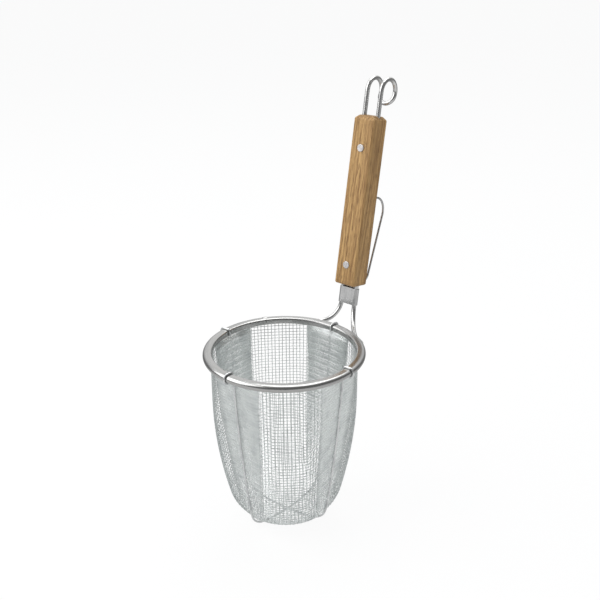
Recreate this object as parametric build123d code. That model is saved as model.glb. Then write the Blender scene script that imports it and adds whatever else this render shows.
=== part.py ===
"""Deep noodle strainer: a woven wire cup with a rolled rim, carried by a bent wire stem with a wooden grip.

Millimetres. Z is up along the cup's axis, Y points from the cup towards the handle, X is sideways.
The origin is the middle of the foot, at the underside of the lower rib wire.
"""
from math import acos, atan2, cos, degrees, hypot, radians, sin, sqrt, tan

import os

from build123d import *

# Rim: a rolled sheet band over a hoop of wire, with a lip that grips the mesh from inside
rim_outer_d = 142.0
bead_d = 6.6
band_t = 0.4
lip_curl_r = 1.8
lip_drop = 1.9
band_seam_gap = 0.3
band_seam_azimuth = 146.0

# Mesh cup: square woven wire, pressed to a deep bowl and drawn flat along the ribs
cup_depth = 162.9
mesh_wire_d = 0.5
wall_depth = 44.0
wall_sweep_r = 350.0
corner_r = 26.0
bowl_r = 97.0
mesh_top_rise = 2.0

# Openings between the wires, as a plain grid: rows up from the middle of the floor, and the
# openings in each full turn of a row, where the fourth row's count goes on to the rim
window_bar = 3.6
window_rows = 13
windows_in_row = (4, 8, 16, 24)

# Ribs: two wires bent to a U, outside the mesh, hooked over the rim
rib_d = 1.8
rib_wall_r = 61.2
rib_wall_lean = 3.5
rib_sweep_r = 1300.0
rib_corner_r = 18.0
rib_floor_r = 150.0
rib_under_rim_r = 3.0
rib_tip_length = 3.5
long_rib_azimuth = 87.0
cross_rib_azimuth = 3.5

# Stem: one wire, from the rim through the grip to the hook and back
stem_d = 4.0
stem_spacing = 14.7
stem_spread = 43.0
stem_bend_r = 22.0
stem_toe_r = 15.0
stem_lap = 9.0
stem_lap_below = 35.0
hook_r = 11.0
hook_rise = 21.8
hook_turn = 200.0

# Clasp: a strip closed round both legs of the stem, under the grip
clasp_t = 0.8
clasp_length = 15.5
clasp_below_grip = 3.5
clasp_seam_gap = 0.4

# Grip: two halves of wood, closed on the wires by two rivets
grip_width = 22.5
grip_thickness = 20.5
grip_length = 154.5
grip_lean = 10.0
grip_behind_rim = 24.5
grip_foot_rise = 34.0
grip_edge_r = 2.2
grip_top_chamfer = 3.2
grip_foot_chamfer = 1.0

# Rivets
rivet_shank_d = 4.0
rivet_head_d = 6.8
rivet_head_h = 0.9
rivet_head_edge_r = 0.5
low_rivet_height = 19.0
high_rivet_height = 126.0

# Pot clip: a sprung wire U on the back of the grip, whose free end is at the bottom
clip_d = 1.9
clip_spacing = 16.0
clip_height = 81.5
clip_bend_centre = 12.7
clip_bend_r = 14.0
clip_tuck = 11.2
clip_foot_height = 8.0
clip_insert = 6.0
clip_play = 0.35

# Fits: bare clearance between pieces that touch, and the overrun of a cut
gap = 0.05
overrun = 5.0

# Worked out from the sizes above
quarter_turn = 90.0
half_turn = 180.0
full_turn = 360.0
bead_r = bead_d / 2
rib_r = rib_d / 2
stem_r = stem_d / 2
clip_r = clip_d / 2
rim_r = rim_outer_d / 2 - bead_r
mesh_r = rim_r - bead_r - gap - mesh_wire_d
lip_outer_r = mesh_r - mesh_wire_d - 2 * gap
core_r = bead_r - band_t - 2 * gap
mesh_floor_z = 2 * rib_d + 2 * gap
rim_z = mesh_floor_z + cup_depth
grip_foot_reach = rim_outer_d / 2 + grip_behind_rim


class WirePath:
    """A centreline laid end to end, as a wire is bent: straight lengths and tangent bends."""

    def __init__(self, start, heading, bend_axis):
        self.point = Vector(start)
        self.heading = Vector(heading).normalized()
        self.bend_axis = Vector(bend_axis).normalized()
        self.edges = []

    def straight(self, length):
        end = self.point + self.heading * length
        self.edges.append(Edge.make_line(self.point, end))
        self.point = end
        return self

    def bend(self, radius, angle, bend_axis=None):
        """Turns the heading by angle about the bend axis, on an arc of this radius."""
        axis = self.bend_axis if bend_axis is None else Vector(bend_axis).normalized()
        side = 1 if angle > 0 else -1
        centre = self.point + axis.cross(self.heading) * (side * radius)
        spoke = self.point - centre
        turn = Axis((0, 0, 0), axis)
        middle = centre + spoke.rotate(turn, angle / 2)
        end = centre + spoke.rotate(turn, angle)
        self.edges.append(Edge.make_three_point_arc(self.point, middle, end))
        self.point = end
        self.heading = self.heading.rotate(turn, angle)
        return self

    def follow(self, moves):
        for kind, *sizes in moves:
            if kind == "straight":
                self.straight(*sizes)
            else:
                self.bend(*sizes)
        return self


def round_bar(edges, radius):
    """A round wire swept along its centreline."""
    path = Wire(edges)
    section = Plane(origin=path @ 0, z_dir=path % 0) * Circle(radius)
    return sweep(section, path=path)


def mirrored_pair(half_edges):
    """A half centreline and its mirror image across the plane X = 0."""
    return [*half_edges, *(edge.mirror(Plane.YZ) for edge in half_edges)]


def strip_face(start, heading, bend_axis, moves, thickness):
    """The cross-section of a bent strip whose middle line follows the moves."""
    middle = Vector(start)
    across = Vector(bend_axis).cross(Vector(heading).normalized())
    sides = []
    for side in (1, -1):
        shift = side * thickness / 2
        shifted = []
        for kind, *sizes in moves:
            if kind == "bend":
                inwards = shift if sizes[1] > 0 else -shift
                sizes[0] -= inwards
            shifted.append((kind, *sizes))
        side_path = WirePath(middle + across * shift, heading, bend_axis)
        sides.append(side_path.follow(shifted))
    caps = [
        Edge.make_line(sides[0].edges[0] @ 0, sides[1].edges[0] @ 0),
        Edge.make_line(sides[0].point, sides[1].point),
    ]
    return make_face([*sides[0].edges, *sides[1].edges, *caps])


def bowl_moves(floor_z, floor_r, turn_r, sweep_r, top_r, top_z, top_lean, outset):
    """A half profile from the axis outwards: shallow floor, corner and long sweep, each an arc.

    The line goes through the axis at floor_z and ends at top_r and top_z, leaning out by top_lean.
    The outset moves it outwards everywhere.
    """
    top_angle = radians(top_lean)
    sweep_centre_r = top_r - sweep_r * cos(top_angle)
    sweep_centre_z = top_z + sweep_r * sin(top_angle)
    floor_centre_z = floor_z + floor_r
    # The corner's centre lies a known distance from both other centres
    floor_apart = floor_r - turn_r
    sweep_apart = sweep_r - turn_r
    over = sweep_centre_z - floor_centre_z
    apart = hypot(sweep_centre_r, over)
    along = (floor_apart**2 - sweep_apart**2 + apart**2) / (2 * apart)
    aside = sqrt(floor_apart**2 - along**2)
    corner_centre_r = (sweep_centre_r * along - over * aside) / apart
    corner_centre_z = floor_centre_z + (over * along + sweep_centre_r * aside) / apart
    floor_turn = degrees(atan2(corner_centre_r, floor_centre_z - corner_centre_z))
    sweep_start = degrees(atan2(sweep_centre_z - corner_centre_z, corner_centre_r - sweep_centre_r))
    return [
        ("bend", floor_r + outset, floor_turn),
        ("bend", turn_r + outset, quarter_turn - floor_turn - sweep_start),
        ("bend", sweep_r + outset, sweep_start - top_lean),
    ]


def cup_moves(outset):
    """The round of the cup, out to the start of its upright wall."""
    floor_z = mesh_floor_z + mesh_wire_d
    wall_z = rim_z - wall_depth
    return bowl_moves(floor_z, bowl_r, corner_r, wall_sweep_r, mesh_r, wall_z, 0, outset)


def rib_moves(floor_drop, outset):
    """A rib's half profile, out and up to the straight run under the rim."""
    hug_r = bead_r + gap + rib_r
    wall_z = rim_z - hug_r - rib_under_rim_r * (1 - sin(radians(rib_wall_lean)))
    floor_z = mesh_floor_z - gap - rib_r - floor_drop
    moves = bowl_moves(
        floor_z,
        rib_floor_r,
        rib_corner_r,
        rib_sweep_r,
        rib_wall_r,
        wall_z,
        rib_wall_lean,
        outset,
    )
    moves.append(("bend", rib_under_rim_r - outset, rib_wall_lean - quarter_turn))
    return moves


# In the plane of X and Z, a left turn from X towards Z turns about minus Y
PROFILE_AXIS = (0, -1, 0)
OUTWARDS = (1, 0, 0)
UPWARDS = (0, 0, 1)


def filled_profile(path, top_z):
    """The face between the axis and a half profile, closed off level at top_z."""
    foot = path.edges[0] @ 0
    level = Vector(path.point.X, 0, top_z)
    on_axis = Vector(0, 0, top_z)
    closing = [
        Edge.make_line(path.point, level),
        Edge.make_line(level, on_axis),
        Edge.make_line(on_axis, foot),
    ]
    return make_face([*path.edges, *closing])


def rib_flats(azimuth, floor_drop, inset, top_z):
    """The space between the two flats that a rib draws the mesh to."""
    floor_z = mesh_floor_z - gap - rib_r - floor_drop + inset
    path = WirePath((0, 0, floor_z), OUTWARDS, PROFILE_AXIS)
    path.follow(rib_moves(floor_drop, -inset))
    path.straight(rim_outer_d - path.point.X)
    half = extrude(filled_profile(path, top_z), rim_outer_d, both=True)
    return Rot(0, 0, azimuth) * (half + half.mirror(Plane.YZ))


def cup_body(outset, top_z):
    """The cup filled in: a round bowl, cut to flats along both ribs."""
    path = WirePath((0, 0, mesh_floor_z + mesh_wire_d - outset), OUTWARDS, PROFILE_AXIS)
    path.follow(cup_moves(outset))
    bowl = revolve(filled_profile(path, top_z), Axis.Z, full_turn)
    inset = rib_r + gap + mesh_wire_d - outset
    bowl &= rib_flats(long_rib_azimuth, rib_d + gap, inset, top_z)
    bowl &= rib_flats(cross_rib_azimuth, 0, inset, top_z)
    return bowl


def bar_azimuths(windows):
    """Where the upright bars of a row stand, with one along each end of each rib."""
    each = windows // 4
    ribs = (cross_rib_azimuth, long_rib_azimuth)
    ends = [rib + turn for turn in (0, half_turn, full_turn) for rib in ribs]
    pairs = zip(ends[:4], ends[1:5])
    return [start + (end - start) * index / each for start, end in pairs for index in range(each)]


def mesh_windows():
    """The openings of the cup: each row is a ring round the profile, left whole at the bars."""
    path = WirePath((0, 0, mesh_floor_z + mesh_wire_d), OUTWARDS, PROFILE_AXIS)
    path.follow(cup_moves(0)).straight(wall_depth - bead_d)
    profile = Wire(path.edges)
    half_bar = window_bar / 2 / profile.length
    inwards = corner_r / 2
    windows = []
    for row in range(window_rows):
        low = row / window_rows + (half_bar if row else 2 * half_bar)
        high = (row + 1) / window_rows - half_bar
        middle = (low + high) / 2
        outline = []
        for share in (low, middle, high):
            normal = (profile % share).cross(Vector(PROFILE_AXIS))
            outline.append((profile @ share, normal))
        outer = [point + normal * overrun for point, normal in outline]
        inner = [point - normal * inwards for point, normal in outline]
        face = make_face(Polyline(*outer, *reversed(inner), close=True))
        bar_turn = degrees(window_bar / (profile @ middle).X)
        starts = bar_azimuths(windows_in_row[min(row, len(windows_in_row) - 1)])
        for start, end in zip(starts, [*starts[1:], starts[0] + full_turn]):
            window = revolve(face, Axis.Z, end - start - bar_turn)
            windows.append(Rot(0, 0, start + bar_turn / 2) * window)
    return windows


def make_basket_mesh():
    """The cup as one thin skin, a wire thick, along the middle of the weave."""
    half_skin = mesh_wire_d / 2
    mesh_top_z = rim_z + mesh_top_rise
    skin = cup_body(half_skin, mesh_top_z) - cup_body(-half_skin, mesh_top_z + overrun)
    return skin - mesh_windows()


def make_rim_core_wire():
    """The hoop inside the rolled band."""
    section = Plane.XZ * Pos(rim_r, rim_z) * Circle(core_r)
    return revolve(section, Axis.Z, full_turn)


def make_rim_channel():
    """The sheet band: up from the lip's edge, over the curl, and round the hoop to the mesh."""
    lip_middle_r = lip_outer_r - band_t / 2
    curl_centre_r = lip_outer_r - band_t + lip_curl_r
    curl_centre_z = rim_z + bead_r - lip_curl_r
    lip_foot_z = rim_z - lip_drop
    moves = [
        ("straight", curl_centre_z - lip_foot_z),
        ("bend", lip_curl_r - band_t / 2, -quarter_turn),
        ("straight", rim_r - curl_centre_r),
        ("bend", bead_r - band_t / 2, -(half_turn + quarter_turn)),
    ]
    section = strip_face((lip_middle_r, 0, lip_foot_z), UPWARDS, PROFILE_AXIS, moves, band_t)
    seam_angle = degrees(band_seam_gap / rim_r)
    band = revolve(section, Axis.Z, full_turn - seam_angle)
    return Rot(0, 0, band_seam_azimuth) * band


def make_rib(azimuth, floor_drop):
    """One rib: under the cup, up both sides, out and round the rim, with its tips inside."""
    hug_r = bead_r + gap + rib_r
    curl_centre_r = lip_outer_r - band_t + lip_curl_r
    curl_hug_r = lip_curl_r + gap + rib_r
    floor_z = mesh_floor_z - gap - rib_r - floor_drop
    half = WirePath((0, 0, floor_z), OUTWARDS, PROFILE_AXIS)
    half.follow(rib_moves(floor_drop, 0))
    half.straight(rim_r - half.point.X)
    half.bend(hug_r, half_turn)
    half.straight(rim_r - curl_centre_r)
    half.bend(curl_hug_r, quarter_turn)
    half.straight(rib_tip_length)
    return Rot(0, 0, azimuth) * round_bar(mirrored_pair(half.edges), rib_r)


# The grip's own frame: X sideways, Y out through its back, Z up along it, from the middle of its foot
lean = radians(grip_lean)
grip_plane = Plane(
    origin=(0, grip_foot_reach, rim_z + grip_foot_rise),
    x_dir=(1, 0, 0),
    z_dir=(0, sin(lean), cos(lean)),
)


def in_grip(shape):
    """Places a shape that was made in the grip's own frame."""
    return grip_plane.location * shape


def grip_point(across, back, up):
    return grip_plane.from_local_coords(Vector(across, back, up))


def grip_heading(across, back, up):
    return grip_point(across, back, up) - grip_point(0, 0, 0)


def stem_foot_moves():
    """From the clasp down to the rim: a spreading bend, a straight, and a toe that laps the rim."""
    below = radians(stem_lap_below)
    reach = bead_r + gap + stem_r
    lap_r = rim_r + reach * cos(below)
    lap_z = rim_z - reach * sin(below)
    spread = radians(stem_spread)
    down = grip_heading(0, 0, -1)
    run = Vector(sin(spread), -cos(spread), 0)
    corner_up = (lap_z - grip_plane.origin.Z) / cos(lean)
    corner = grip_point(stem_spacing / 2, 0, corner_up)
    bend_angle = degrees(acos(down.dot(run)))
    tangent = stem_bend_r * tan(radians(bend_angle) / 2)
    # The toe's arc touches both the straight run and the circle that the lap follows
    run_offset = corner.X * cos(spread) + corner.Y * sin(spread)
    toe_offset = run_offset + stem_toe_r
    toe_along = sqrt((lap_r + stem_toe_r) ** 2 - toe_offset**2)
    corner_along = corner.Y * cos(spread) - corner.X * sin(spread)
    straight_run = corner_along - toe_along - tangent
    toe_turn = degrees(acos(toe_offset / (lap_r + stem_toe_r)))
    return {
        "down_to": corner_up + tangent,
        "bend_axis": down.cross(run),
        "bend_angle": bend_angle,
        "run": straight_run,
        "toe_turn": toe_turn,
        "lap_r": lap_r,
        "lap_turn": degrees(stem_lap / lap_r),
    }


def make_stem_hook_wire():
    """One wire: from the closed end of the hook, round the hook, down through the grip to the rim."""
    foot = stem_foot_moves()
    hook_centre_up = grip_length + hook_rise
    closing_r = stem_spacing / 2
    # Starts at the grip's leg and works up to the closed end, then down to the rim
    up = grip_heading(0, 0, 1)
    sideways = Vector(1, 0, 0)
    upper = WirePath(grip_point(closing_r, 0, 0), up, sideways)
    upper.straight(hook_centre_up)
    upper.bend(hook_r, -hook_turn)
    upper.bend(closing_r, quarter_turn, upper.heading.cross(-sideways))
    lower = WirePath(grip_point(closing_r, 0, 0), -up, foot["bend_axis"])
    lower.straight(-foot["down_to"])
    lower.bend(stem_bend_r, foot["bend_angle"])
    lower.straight(foot["run"])
    lower.bend(stem_toe_r, foot["toe_turn"], Vector(0, 0, 1))
    lower.bend(foot["lap_r"], -foot["lap_turn"], Vector(0, 0, 1))
    return round_bar(mirrored_pair([*upper.edges, *lower.edges]), stem_r)


def make_stem_clasp():
    """The strip closed round both legs, with its seam at the back."""
    wrap_r = stem_r + gap + clasp_t / 2
    half_back = (stem_spacing - clasp_seam_gap) / 2
    moves = [
        ("straight", half_back),
        ("bend", wrap_r, -half_turn),
        ("straight", stem_spacing),
        ("bend", wrap_r, -half_turn),
        ("straight", half_back),
    ]
    foot_up = -clasp_below_grip - clasp_length
    start = (clasp_seam_gap / 2, wrap_r, foot_up)
    section = strip_face(start, OUTWARDS, UPWARDS, moves, clasp_t)
    return in_grip(extrude(section, clasp_length, dir=UPWARDS))


def grip_block():
    """Both halves in one, with eased edges, wire channels and rivet holes, in the grip's frame."""
    block = Box(
        grip_width,
        grip_thickness,
        grip_length,
        align=(Align.CENTER, Align.CENTER, Align.MIN),
    )
    block = chamfer(block.faces().sort_by(Axis.Z)[-1].edges(), grip_top_chamfer)
    foot_edges = block.faces().sort_by(Axis.Z)[0].edges()
    block = fillet(block.edges() - foot_edges, grip_edge_r)
    block = chamfer(block.faces().sort_by(Axis.Z)[0].edges(), grip_foot_chamfer)
    upright = (Align.CENTER, Align.CENTER, Align.MIN)
    channel = Cylinder(stem_r + gap, grip_length + 2 * overrun, align=upright)
    for side in (-1, 1):
        block -= Pos(side * stem_spacing / 2, 0, -overrun) * channel
    rivet_hole = Cylinder(rivet_shank_d / 2 + gap, grip_thickness + 2 * overrun)
    for height in (low_rivet_height, high_rivet_height):
        block -= Pos(0, 0, height) * Rot(quarter_turn, 0, 0) * rivet_hole
    return block


def make_grip_half(side):
    """One half of the grip: side is -1 at the front, towards the cup, and 1 at the back."""
    half_space = Box(
        grip_width + 2 * overrun,
        grip_thickness / 2 + overrun,
        grip_length + 2 * overrun,
        align=(Align.CENTER, Align.MIN if side > 0 else Align.MAX, Align.MIN),
    )
    half = grip_block() & (Pos(0, 0, -overrun) * half_space)
    if side > 0:
        depth = clip_insert + clip_play
        socket = Cylinder(clip_r + clip_play, depth + overrun)
        middle = grip_thickness / 2 - depth + (depth + overrun) / 2
        for across in (-clip_spacing / 2, clip_spacing / 2):
            half -= Pos(across, middle, clip_height) * Rot(quarter_turn, 0, 0) * socket
    return in_grip(half)


def make_grip_rivets():
    """Two rivets through both halves, each with a low head on both faces."""
    half_grip = grip_thickness / 2
    rivets = []
    for height in (low_rivet_height, high_rivet_height):
        shank = Cylinder(rivet_shank_d / 2, grip_thickness)
        rivet = shank
        for side in (-1, 1):
            head = Cylinder(rivet_head_d / 2, rivet_head_h)
            crown = head.edges().sort_by(Axis.Z)[-1 if side > 0 else 0]
            head = fillet(crown, rivet_head_edge_r)
            rivet += Pos(0, 0, side * (half_grip + rivet_head_h / 2)) * head
        rivets.append(in_grip(Pos(0, 0, height) * Rot(quarter_turn, 0, 0) * rivet))
    return Compound(children=rivets)


def make_pot_clip():
    """A wire U: in through the back of the grip, out, bent down and drawn in, closed at the foot."""
    half_spacing = clip_spacing / 2
    start_back = grip_thickness / 2 - clip_insert
    turn = quarter_turn + clip_tuck
    bend_foot = clip_height - clip_bend_r - clip_bend_r * sin(radians(clip_tuck))
    leg = (bend_foot - clip_foot_height) / cos(radians(clip_tuck))
    sideways = Vector(1, 0, 0)
    half = WirePath(grip_point(half_spacing, start_back, clip_height), grip_heading(0, 1, 0), sideways)
    half.straight(clip_bend_centre - start_back)
    half.bend(clip_bend_r, -turn)
    half.straight(leg)
    half.bend(half_spacing, quarter_turn, half.heading.cross(-sideways))
    return round_bar(mirrored_pair(half.edges), clip_r)


parts = {
    "basket_mesh": make_basket_mesh(),
    "rim_core_wire": make_rim_core_wire(),
    "rim_channel": make_rim_channel(),
    "long_rib_wire": make_rib(long_rib_azimuth, rib_d + gap),
    "cross_rib_wire": make_rib(cross_rib_azimuth, 0),
    "stem_hook_wire": make_stem_hook_wire(),
    "stem_clasp": make_stem_clasp(),
    "grip_front_half": make_grip_half(-1),
    "grip_back_half": make_grip_half(1),
    "grip_rivets": make_grip_rivets(),
    "pot_clip": make_pot_clip(),
}

os.makedirs("parts", exist_ok=True)
for node, shape in parts.items():
    export_step(shape, f"parts/{node}.step")
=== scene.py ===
from math import atan2, cos, hypot, pi, radians, sin, sqrt

import bpy
import numpy as np
from mathutils import Matrix, Vector


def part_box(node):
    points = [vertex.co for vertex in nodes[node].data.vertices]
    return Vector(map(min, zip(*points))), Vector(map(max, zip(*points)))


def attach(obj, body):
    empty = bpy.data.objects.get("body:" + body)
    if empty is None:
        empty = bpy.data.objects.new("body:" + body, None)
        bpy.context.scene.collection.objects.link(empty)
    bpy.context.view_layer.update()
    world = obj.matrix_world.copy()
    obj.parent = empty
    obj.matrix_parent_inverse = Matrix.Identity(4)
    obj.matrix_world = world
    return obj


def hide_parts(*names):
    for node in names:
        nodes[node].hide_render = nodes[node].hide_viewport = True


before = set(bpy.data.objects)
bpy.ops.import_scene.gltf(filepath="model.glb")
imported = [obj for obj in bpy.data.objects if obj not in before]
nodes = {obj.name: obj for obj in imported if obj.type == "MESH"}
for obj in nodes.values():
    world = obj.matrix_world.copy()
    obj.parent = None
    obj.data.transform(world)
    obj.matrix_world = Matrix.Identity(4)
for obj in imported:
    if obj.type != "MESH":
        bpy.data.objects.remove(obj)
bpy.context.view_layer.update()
scene = bpy.context.scene
MM = 0.001
QUARTER_TURN = pi / 2
EIGHTH_TURN = pi / 4
TINY = 1e-9
WHITE = (1, 1, 1, 1)


def in_mm(metres):
    """A measure of the frame in millimetres, to the hundredth that the source gives."""
    return round(metres / MM, 2)


# Sizes in millimetres and azimuths in degrees. The frame gives those that its boxes hold
core_low, core_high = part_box("rim_core_wire")
cup_low, cup_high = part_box("basket_mesh")
RIM_Z = in_mm((core_low[2] + core_high[2]) / 2)
RIM_MIDDLE_R = 67.7
RIM_SECTION_R = in_mm(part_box("rim_channel")[1][2] - RIM_Z * MM)
BAND_LAP_AZIMUTH = 146.0
BAND_LAP_HALF = 1.5
BAND_LAP_RISE = 0.3
CUP_SKIN = 0.5
MESH_R = in_mm(cup_high[0] - CUP_SKIN * MM / 2)
MESH_FLOOR_Z = in_mm(cup_low[2] + CUP_SKIN * MM / 2)
MESH_TOP_RISE = in_mm(cup_high[2] - RIM_Z * MM)
BOWL_R = 97.0
CORNER_R = 26.0
WALL_SWEEP_R = 350.0
WALL_DEPTH = 44.0
RIB_R = 0.9
RIB_CROSSING_Z = 1.83
RIB_FLOOR_Z = 1.8
RIB_FLOOR_R = 150.0
RIB_CORNER_R = 18.0
RIB_WALL_R = 61.2
RIB_WALL_LEAN = radians(3.5)
RIB_SWEEP_R = 1300.0
RIB_UNDER_RIM_R = 3.0
RIB_TO_CLOTH = 1.45
RIB_TO_BEAD = 4.25
LONG_RIB_AZIMUTH = 87.0
CROSS_RIB_AZIMUTH = 3.5
CORNER_AZIMUTH = 45.0 + (LONG_RIB_AZIMUTH - 90.0 + CROSS_RIB_AZIMUTH) / 2
CLOTH_PITCH = 3.05
CLOTH_WIRE_R = 0.29
GRIP_LEAN = radians(10.0)
GRIP_HALF_WIDTH = in_mm(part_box("grip_back_half")[1][0])
GRIP_HALF_THICKNESS = 10.25
GRIP_LENGTH = 154.5

# The photograph's view: degrees, metres, and pixels of its frame
VIEW_BEARING = 40.76
VIEW_HEIGHT = 26.40
VIEW_ROLL = 0.78
VIEW_DISTANCE = 0.8
PICTURE_SIDE = 600
PICTURE_MIDDLE = PICTURE_SIDE / 2
FOCAL_PIXELS = 915.06
RIM_PIXEL = (283.57, 351.29)
SENSOR_WIDTH = 36.0
NEAREST_SHOWN = 0.01


# Camera

def place_camera():
    """Stands on the photograph's bearing and height, with the rim's middle on its pixel."""
    bearing, height, roll = radians(VIEW_BEARING), radians(VIEW_HEIGHT), radians(VIEW_ROLL)
    back = Vector((sin(bearing) * cos(height), -cos(bearing) * cos(height), sin(height)))
    right = Vector((cos(bearing), sin(bearing), 0.0))
    up = back.cross(right)
    place = Vector((0, 0, RIM_Z * MM)) + back * VIEW_DISTANCE
    aside = atan2(RIM_PIXEL[0] - PICTURE_MIDDLE, FOCAL_PIXELS)
    above = atan2(PICTURE_MIDDLE - RIM_PIXEL[1], FOCAL_PIXELS)
    ahead = -right * sin(aside) - back * cos(aside)
    right = right * cos(aside) - back * sin(aside)
    up_tilted = up * cos(above) + ahead * sin(above)
    ahead = -up * sin(above) + ahead * cos(above)
    right_rolled = right * cos(roll) - up_tilted * sin(roll)
    up_rolled = right * sin(roll) + up_tilted * cos(roll)
    data = bpy.data.cameras.new("camera")
    data.sensor_width = SENSOR_WIDTH
    data.lens = FOCAL_PIXELS * SENSOR_WIDTH / PICTURE_SIDE
    data.clip_start = NEAREST_SHOWN
    camera = bpy.data.objects.new("camera", data)
    scene.collection.objects.link(camera)
    turn = Matrix((right_rolled, up_rolled, -ahead)).transposed().to_4x4()
    camera.matrix_world = Matrix.Translation(place) @ turn
    scene.camera = camera


place_camera()


# Node tools

COLOUR, NUMBER, VECTOR = "NodeSocketColor", "NodeSocketFloat", "NodeSocketVector"
NODE_WIDTH = 220
NODE_HEIGHT = 320


def add(tree, kind, **settings):
    node = tree.nodes.new(kind)
    for key, value in settings.items():
        setattr(node, key, value)
    return node


def feed(tree, socket, value):
    """Links a socket to another node's output, or sets its plain value."""
    if isinstance(value, bpy.types.NodeSocket):
        tree.links.new(value, socket)
    else:
        socket.default_value = value


def new_group(name, inputs, outputs):
    """A node group, the outputs of its first node and the inputs of its last."""
    group = bpy.data.node_groups.new(name, "ShaderNodeTree")
    for in_out, sockets in (("INPUT", inputs), ("OUTPUT", outputs)):
        for label, kind in sockets.items():
            group.interface.new_socket(label, in_out=in_out, socket_type=kind)
    return group, add(group, "NodeGroupInput").outputs, add(group, "NodeGroupOutput").inputs


def new_material(name):
    material = bpy.data.materials.new(name)
    material.use_nodes = True
    tree = material.node_tree
    return material, tree, tree.nodes["Principled BSDF"]


def mix_colour(tree, factor, first, second, blend="MIX"):
    node = add(tree, "ShaderNodeMix", data_type="RGBA", blend_type=blend)
    for socket, value in ((0, factor), (6, first), (7, second)):
        feed(tree, node.inputs[socket], value)
    return node.outputs[2]


def mix_shaders(tree, factor, first, second):
    node = add(tree, "ShaderNodeMixShader")
    for socket, value in zip(node.inputs, (factor, first, second)):
        feed(tree, socket, value)
    return node.outputs[0]


def spread(tree, value, low, high, to_low=0.0, to_high=1.0):
    """Spreads the values from low to high over to_low to to_high, and holds them there."""
    node = add(tree, "ShaderNodeMapRange", clamp=True)
    for socket, setting in zip(node.inputs, (value, low, high, to_low, to_high)):
        feed(tree, socket, setting)
    return node.outputs[0]


def noise(tree, vector, scale, detail, roughness):
    node = add(tree, "ShaderNodeTexNoise")
    settings = {"Vector": vector, "Scale": scale, "Detail": detail, "Roughness": roughness}
    for label, value in settings.items():
        feed(tree, node.inputs[label], value)
    return node.outputs[0]


def formula(tree, operation, *values):
    node = add(tree, "ShaderNodeMath", operation=operation)
    for socket, value in zip(node.inputs, values):
        feed(tree, socket, value)
    return node.outputs[0]


def split_axes(tree, vector):
    node = add(tree, "ShaderNodeSeparateXYZ")
    tree.links.new(vector, node.inputs[0])
    return node.outputs


def along_axis(tree, vector, axis):
    """How far a place or direction reaches along an axis."""
    node = add(tree, "ShaderNodeVectorMath", operation="DOT_PRODUCT")
    tree.links.new(vector, node.inputs[0])
    node.inputs[1].default_value = axis
    return node.outputs["Value"]


def lay_out(tree):
    """Sets each node to the right of those that feed it, so that the tree can be read."""
    columns, filled = {}, {}

    def column(node):
        if node.name not in columns:
            feeding = [link.from_node for socket in node.inputs for link in socket.links]
            columns[node.name] = max((column(other) + 1 for other in feeding), default=0)
        return columns[node.name]

    for node in tree.nodes:
        place = column(node)
        filled[place] = filled.get(place, 0) + 1
        node.location = (NODE_WIDTH * place, -NODE_HEIGHT * filled[place])


# Metal finishes

GRIT_HEIGHT = 0.0002
BAND_LENGTHWAYS_SHARE = 0.004
CLASP_LENGTHWAYS_SHARE = 0.12


def make_metal_skin():
    """Bright metal that has been handled: cloudy tone, fine grit and a few dull smears."""
    group, read, write = new_group(
        "metal_skin",
        {
            "Vector": VECTOR, "Tone": COLOUR, "Dull tone": COLOUR, "Cloud scale": NUMBER,
            "Grit scale": NUMBER, "Polish": NUMBER, "Dullness": NUMBER, "Relief": NUMBER,
        },
        {"Color": COLOUR, "Roughness": NUMBER, "Normal": VECTOR},
    )
    cloud = noise(group, read["Vector"], read["Cloud scale"], detail=4.0, roughness=0.55)
    grit = noise(group, read["Vector"], read["Grit scale"], detail=2.0, roughness=0.6)
    smear = spread(group, cloud, low=0.42, high=0.68)
    speck = spread(group, grit, low=0.35, high=0.75, to_high=0.45)
    dull = formula(group, "MAXIMUM", smear, speck)
    colour = mix_colour(group, dull, read["Tone"], read["Dull tone"])
    rough = spread(group, dull, 0.0, 1.0, read["Polish"], read["Dullness"])
    bump = add(group, "ShaderNodeBump")
    bump.inputs["Distance"].default_value = GRIT_HEIGHT
    group.links.new(read["Relief"], bump.inputs["Strength"])
    group.links.new(grit, bump.inputs["Height"])
    group.links.new(colour, write["Color"])
    group.links.new(rough, write["Roughness"])
    group.links.new(bump.outputs[0], write["Normal"])
    lay_out(group)
    return group


METAL_SKIN = make_metal_skin()


def use_metal_skin(tree, shader, vector, tone, dull, cloud, grit, polish, dullness, relief):
    skin = add(tree, "ShaderNodeGroup", node_tree=METAL_SKIN)
    settings = {
        "Vector": vector, "Tone": (*tone, 1), "Dull tone": (*dull, 1), "Cloud scale": cloud,
        "Grit scale": grit, "Polish": polish, "Dullness": dullness, "Relief": relief,
    }
    for label, value in settings.items():
        feed(tree, skin.inputs[label], value)
    tree.links.new(skin.outputs["Color"], shader.inputs["Base Color"])
    tree.links.new(skin.outputs["Roughness"], shader.inputs["Roughness"])
    tree.links.new(skin.outputs["Normal"], shader.inputs["Normal"])
    shader.inputs["Metallic"].default_value = 1.0
    return skin


def object_coordinates(tree, scale=(1, 1, 1), turn=(0, 0, 0), shift=(0, 0, 0)):
    place = add(tree, "ShaderNodeTexCoord")
    mapping = add(tree, "ShaderNodeMapping")
    mapping.inputs["Scale"].default_value = scale
    mapping.inputs["Rotation"].default_value = turn
    mapping.inputs["Location"].default_value = shift
    tree.links.new(place.outputs["Object"], mapping.inputs["Vector"])
    return mapping.outputs[0]


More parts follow.
